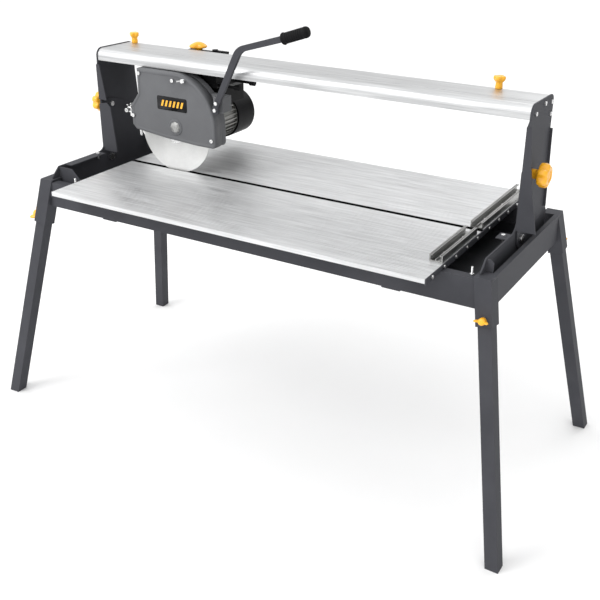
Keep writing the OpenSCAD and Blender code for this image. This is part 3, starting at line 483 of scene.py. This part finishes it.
def low_knob(name, joint, body, materials):
    """Low domed knob with three broad lobes, on a short collar."""
    place = joint_place(joint, (1, 0, 0))
    bm = bmesh.new()
    turned(bm, [(11, 0.1, 0), (12, 1.2, 0), (12, 4, 0), (17, 6, 0.06), (26, 8, 0.26),
                (29, 11, 0.36), (28, 14.5, 0.38), (23, 18, 0.3), (16, 21, 0.14), (10, 23, 0.04),
                (4, 23.8, 0)], count=96, lobes=3)
    finish_piece(bm, name, materials["yellow_plastic"], body, place)
    knob_stud(name, 10, place, body, materials)


def tall_knob(name, joint, body, materials):
    """Tall knob with a narrow neck and a four-lobed, flared head."""
    place = joint_place(joint, (1, 0, 0))
    bm = bmesh.new()
    turned(bm, [(8.6, 0.1, 0), (9.6, 1.4, 0), (9.4, 8, 0), (8.8, 13, 0), (9.6, 16, 0.05),
                (12.4, 19, 0.16), (15, 22, 0.24), (15.8, 25, 0.26), (15.6, 29, 0.26),
                (14.2, 31.3, 0.22), (11, 31.9, 0.1), (6, 31.2, 0)], count=96, lobes=4)
    finish_piece(bm, name, materials["yellow_plastic"], body, place)
    knob_stud(name, 10, place, body, materials)


def ribbed_grip(materials):
    """Rubber grip: flared guard ring, rings of ribs along the hand's length and a domed end."""
    lean = math.radians(GRIP_LEAN)
    place = axes_at(SPINDLE + GRIP_FOOT, (math.cos(lean), 0, math.sin(lean)), (0, 1, 0))
    profile = [(10, 0, 0), (15.6, 0.6, 0), (16.4, 2.2, 0), (16.2, 4.4, 0), (14.2, 7, 0)]
    for k in range(GRIP_RIBS):
        z = 10 + RIB_PITCH * k
        profile += [(13.2, z, 0), (14.6, z + 1.1, 0), (14.8, z + 4.6, 0), (13.3, z + 5.8, 0)]
    profile += [(14.6, 67, 0), (15.1, 70, 0), (14.7, 75, 0), (12.6, 79, 0), (8, 80.7, 0),
                (1.5, 81, 0)]
    bm = bmesh.new()
    turned(bm, profile, count=64)
    finish_piece(bm, "grip_rubber", materials["black_rubber"], "saw_head", place,
                 replaces=["handle_grip"])


# ------------------------------------------------------------------ guard and head details

def arc(cx, cz, radius, start, end, count):
    """Points along an arc in X and Z, in millimetres, angles in degrees."""
    points = []
    for k in range(count + 1):
        angle = math.radians(start + (end - start) * k / count)
        points.append((cx + radius * math.cos(angle), cz + radius * math.sin(angle)))
    return points


def guard_outline():
    """The guard's outline about the spindle, clockwise from its top left."""
    return ([(-105, 181)] + arc(25, 34, 147, 90, 0, 36) + arc(158, -8, 14, 0, -90, 8)
            + [(100, -21), (-12, -14), (-120, -2), (-133, 12), (-133, 72), (-105, 108)])


def inset_outline(points, distance):
    """The outline moved inwards by a distance, corner by corner."""
    moved = []
    count = len(points)
    for k in range(count):
        before = Vector(points[k - 1])
        here = Vector(points[k])
        after = Vector(points[(k + 1) % count])
        normal_in = Vector((here - before).yx).normalized()
        normal_out = Vector((after - here).yx).normalized()
        normal_in.y = -normal_in.y
        normal_out.y = -normal_out.y
        middle = (normal_in + normal_out).normalized()
        stretch = 1 / max(0.5, middle.dot(normal_in))
        moved.append(here + middle * distance * stretch)
    return moved


def guard_cover(materials):
    """Pressed front half of the guard, with a rounded rim, a stepped panel and an arbor dome."""
    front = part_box("guard_cover")[0].y / MM + GUARD_FACE_DEPTH - SPINDLE.y / MM
    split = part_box("guard_cover")[1].y / MM - SPINDLE.y / MM
    outline = guard_outline()
    steps = [(0, split), (0, front + 5), (0.7, front + 2.6), (2.4, front + 0.8), (5, front),
             (9, front), (10, front + GUARD_PANEL_RISE), (12, front + GUARD_PANEL_RISE)]
    bm = bmesh.new()
    loops = []
    for inset, y in steps:
        ring = inset_outline(outline, inset)
        loops.append([bm.verts.new((p[0], y, p[1])) for p in ring])
    count = len(outline)
    # the edges along the underside, which stays open for the blade
    bottom = {k for k in range(count) if outline[k][1] < -1.9 and outline[(k + 1) % count][1] < 0
              and outline[k][0] < 160 and outline[(k + 1) % count][0] < 160}
    for level, (lower, upper) in enumerate(zip(loops, loops[1:])):
        for k in range(count):
            if level == 0 and k in bottom:
                continue
            bm.faces.new((lower[k], lower[(k + 1) % count], upper[(k + 1) % count], upper[k]))
    bm.faces.new(loops[-1])
    bmesh.ops.triangulate(bm, faces=[face for face in bm.faces if len(face.verts) > 4])
    place = Matrix.Translation(SPINDLE)
    cover = finish_piece(bm, "guard_shell", materials["guard_paint"], "saw_head",
                         place, replaces=["guard_cover"])
    thick = cover.modifiers.new("thick", "SOLIDIFY")
    thick.thickness = GUARD_SHEET * MM
    thick.offset = -1
    place = axes_at(SPINDLE + Vector((30, front + GUARD_PANEL_RISE, 24)) * MM, (0, -1, 0),
                    (1, 0, 0))
    bm = bmesh.new()
    turned(bm, [(25, -1, 0), (24.2, 1, 0), (22, 2.6, 0), (19, 3, 0), (17, 2.2, 0)], count=64)
    finish_piece(bm, "arbor_ring", materials["guard_paint"], "saw_head", place)
    bm = bmesh.new()
    turned(bm, [(18, 0, 0), (17.6, 3, 0), (14, 6.4, 0), (7.5, 8.4, 0), (2, 8.8, 0)], count=8)
    finish_piece(bm, "arbor_cap", materials["fence_aluminium"], "saw_head",
                 place, bevel=0.5, smooth=False)


def label_plate(materials):
    """A blank black plate with slanted amber bars, in place of any mark."""
    front = (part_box("guard_cover")[0].y / MM + GUARD_FACE_DEPTH - SPINDLE.y / MM
             + GUARD_PANEL_RISE)
    place = axes_at(SPINDLE + Vector((21, front, 91)) * MM, (0, -1, 0), (1, 0, 0))
    bm = bmesh.new()
    rounded_box(bm, (-54, -20, -0.4), (54, 20, 0.9), 5)
    finish_piece(bm, "blank_plate", materials["label"], "saw_head", place)
    bm = bmesh.new()
    pitch, width, lean, half_height = 14, 7, 6, 9
    for k in range(6):
        x = -40 + pitch * k
        corners = ((x, -half_height), (x + width, -half_height),
                   (x + width + lean, half_height), (x + lean, half_height))
        loft(bm, [[(cx, cy, 0.7) for cx, cy in corners], [(cx, cy, 1.3) for cx, cy in corners]])
    finish_piece(bm, "plate_bars", materials["yellow_plastic"], "saw_head",
                 place, smooth=False)


def levelling_bolts(materials):
    """A threaded bolt with its nut near each end of the frame's front beam."""
    low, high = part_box("front_beam")
    bm = bmesh.new()
    for x in BOLT_PLACES:
        shift = Matrix.Translation((x, (low.y + high.y) / 2 / MM + BOLT_SETBACK, high.z / MM))
        made = len(bm.verts)
        profile = []
        for k in range(11):
            profile += [(2.6, 4 + 1.5 * k, 0), (3.1, 4.75 + 1.5 * k, 0)]
        turned(bm, [(2.6, -1, 0)] + profile + [(2.2, 21, 0)], count=20)
        turned(bm, [(5, 0, 0), (5.4, 0.5, 0), (5.4, 3.6, 0), (5, 4, 0)], count=6)
        bm.verts.ensure_lookup_table()
        bmesh.ops.transform(bm, matrix=shift, verts=bm.verts[made:])
    finish_piece(bm, "levelling_bolts", materials["bright_steel"], "frame",
                 smooth=False)


# ------------------------------------------------------------------ stage

def floor_and_light():
    """Pale floor, the surroundings and two lamps."""
    bm = bmesh.new()
    bmesh.ops.create_grid(bm, x_segments=1, y_segments=1, size=FLOOR_SIZE)
    mesh = bpy.data.meshes.new("floor")
    bm.to_mesh(mesh)
    bm.free()
    material, tree, shader = new_material("floor_pale")
    tone = ramp(tree, noise(tree, place_coordinates(tree), 2), [(0.3, 0.93), (0.7, 0.95)])
    tree.links.new(tone, shader.inputs["Base Color"])
    shader.inputs["Roughness"].default_value = 0.9
    mesh.materials.append(material)
    floor = bpy.data.objects.new("floor", mesh)
    bpy.context.scene.collection.objects.link(floor)
    studio_world()
    for name, spot, size, power in LAMPS:
        lamp = bpy.data.lights.new(name, "AREA")
        lamp.size = size
        lamp.energy = power
        holder = bpy.data.objects.new(name, lamp)
        holder.location = spot
        aim = LAMP_AIM - Vector(spot)
        holder.rotation_euler = aim.to_track_quat("-Z", "Y").to_euler()
        bpy.context.scene.collection.objects.link(holder)


def studio_world():
    """White surroundings that are brighter above and to the left of the machine."""
    world = bpy.data.worlds.new("studio")
    world.use_nodes = True
    tree = world.node_tree
    around = tree.nodes.new("ShaderNodeTexCoord")
    side = tree.nodes.new("ShaderNodeVectorMath")
    side.operation = "DOT_PRODUCT"
    tree.links.new(around.outputs["Generated"], side.inputs[0])
    side.inputs[1].default_value = BRIGHT_SIDE
    strength = map_range(tree, side.outputs["Value"], -1.0, 1.0, *WORLD_STRENGTH)
    background = tree.nodes["Background"]
    background.inputs["Color"].default_value = (1, 1, 1, 1)
    tree.links.new(strength, background.inputs["Strength"])
    bpy.context.scene.world = world
    bpy.context.scene.view_settings.view_transform = "Standard"


def camera():
    """A moderate lens in front of the right-hand end, looking left and down."""
    yaw, down, roll = (math.radians(angle) for angle in CAMERA_ANGLES)
    made = bpy.data.cameras.new("camera")
    made.lens = CAMERA_LENS
    made.sensor_width = CAMERA_SENSOR
    holder = bpy.data.objects.new("camera", made)
    holder.matrix_world = (Matrix.Translation(CAMERA_PLACE) @ Matrix.Rotation(yaw, 4, "Z")
                           @ Matrix.Rotation(math.pi / 2 - down, 4, "X")
                           @ Matrix.Rotation(roll, 4, "Z"))
    bpy.context.scene.collection.objects.link(holder)
    bpy.context.scene.camera = holder


def build():
    camera()
    floor_and_light()
    materials = make_materials()
    dress_frame(materials)
    for side in ("left", "right"):
        knob = "tilt_knob_" + side
        star_knob("star_" + side, knob + "_turn", knob, materials)
    low_knob("low_carriage", "carriage_knob_turn", "carriage_knob", materials)
    for side in ("left", "right"):
        knob = "rail_knob_" + side
        tall_knob("tall_" + side, knob + "_turn", knob, materials)
    for end in ("front", "rear"):
        for side, hint, span, height in LEG_KNOB_LOOKS:
            knob = "leg_knob_" + end + "_" + side
            wing_knob("wing_" + end + "_" + side, knob + "_turn", knob, span, height, hint,
                      materials)
    ribbed_grip(materials)
    guard_cover(materials)
    label_plate(materials)
    levelling_bolts(materials)


build()
